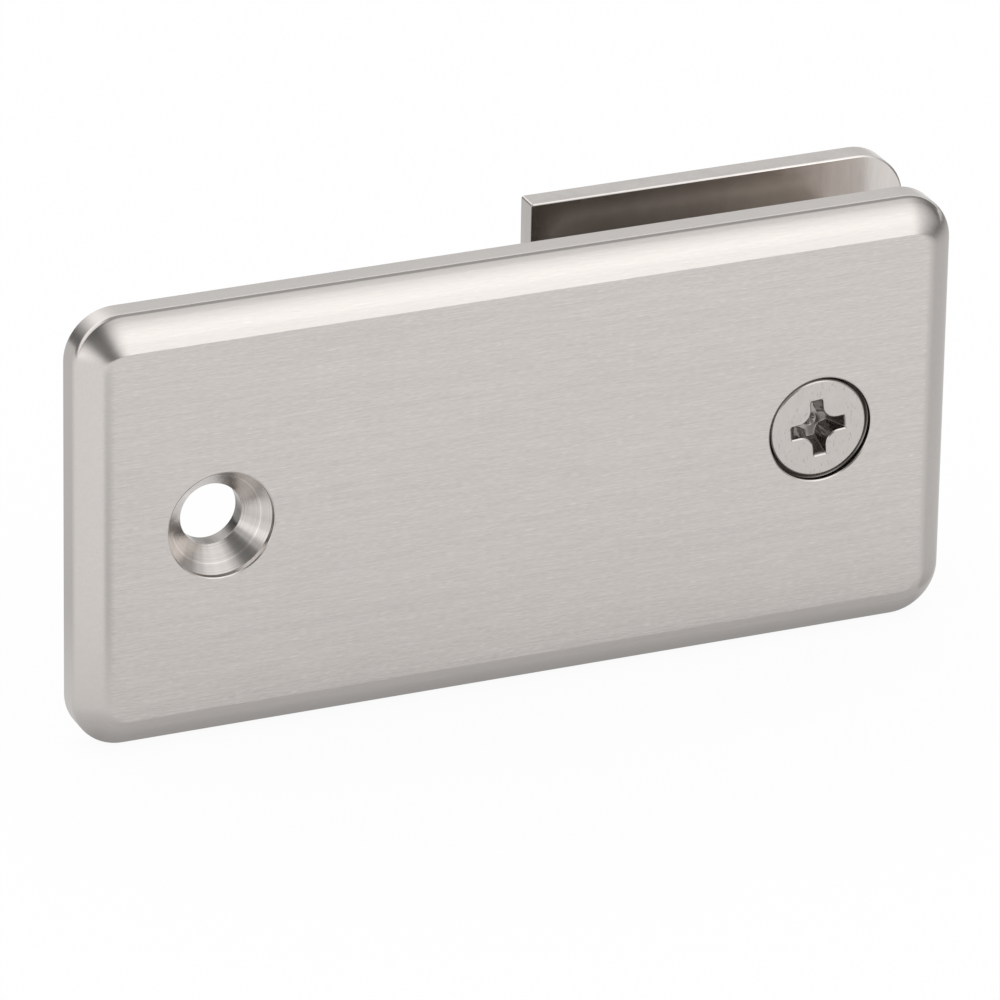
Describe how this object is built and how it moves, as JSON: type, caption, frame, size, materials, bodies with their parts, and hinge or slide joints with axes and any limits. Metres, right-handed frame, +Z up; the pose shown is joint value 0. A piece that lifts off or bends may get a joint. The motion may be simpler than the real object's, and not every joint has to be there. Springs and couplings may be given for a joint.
{
  "type": "glass clamp",
  "caption": "Bevelled rectangular front plate with countersunk holes; a countersunk screw draws a shorter back plate against a pane of glass.",
  "frame": {"origin": "centre of the front plate's back face, the plane that meets the wall and carries the front gasket, midway between the two screws", "axes": "+X along the plate, from the fixing hole towards the clamp screw; +Y from the front plate into the glass and the back plate; +Z up"},
  "size_m": [0.102, 0.0174, 0.05],
  "materials": {
    "brushed_plate": "satin, fine lines brushed along its length",
    "polished_plate": "smooth ground, half gloss",
    "screw_steel": "smooth, tumbled",
    "bush_steel": "turned",
    "sleeve_plastic": "smooth matt",
    "gasket_rubber": "matt"
  },
  "bodies": {
    "front_plate": {"front_plate": "brushed_plate", "front_gasket": "gasket_rubber"},
    "clamp_screw": {"clamp_screw": "screw_steel"},
    "back_jaw": {"back_plate": "polished_plate", "threaded_bush": "bush_steel", "glass_sleeve": "sleeve_plastic", "back_gasket": "gasket_rubber"}
  },
  "joints": [
    {"name": "clamp_screw_turn", "type": "hinge", "parent": "front_plate", "child": "clamp_screw", "pos_m": [0.035, 0, 0], "axis": [0, -1, 0], "range_deg": [0, 1440]},
    {"name": "back_jaw_slide", "type": "slide", "parent": "front_plate", "child": "back_jaw", "axis": [0, 1, 0], "range_m": [0, 0.004]}
  ],
  "couplings": [
    {"joint": "clamp_screw_turn", "follows": "back_jaw_slide", "rad_per_m": 6283.1}
  ]
}
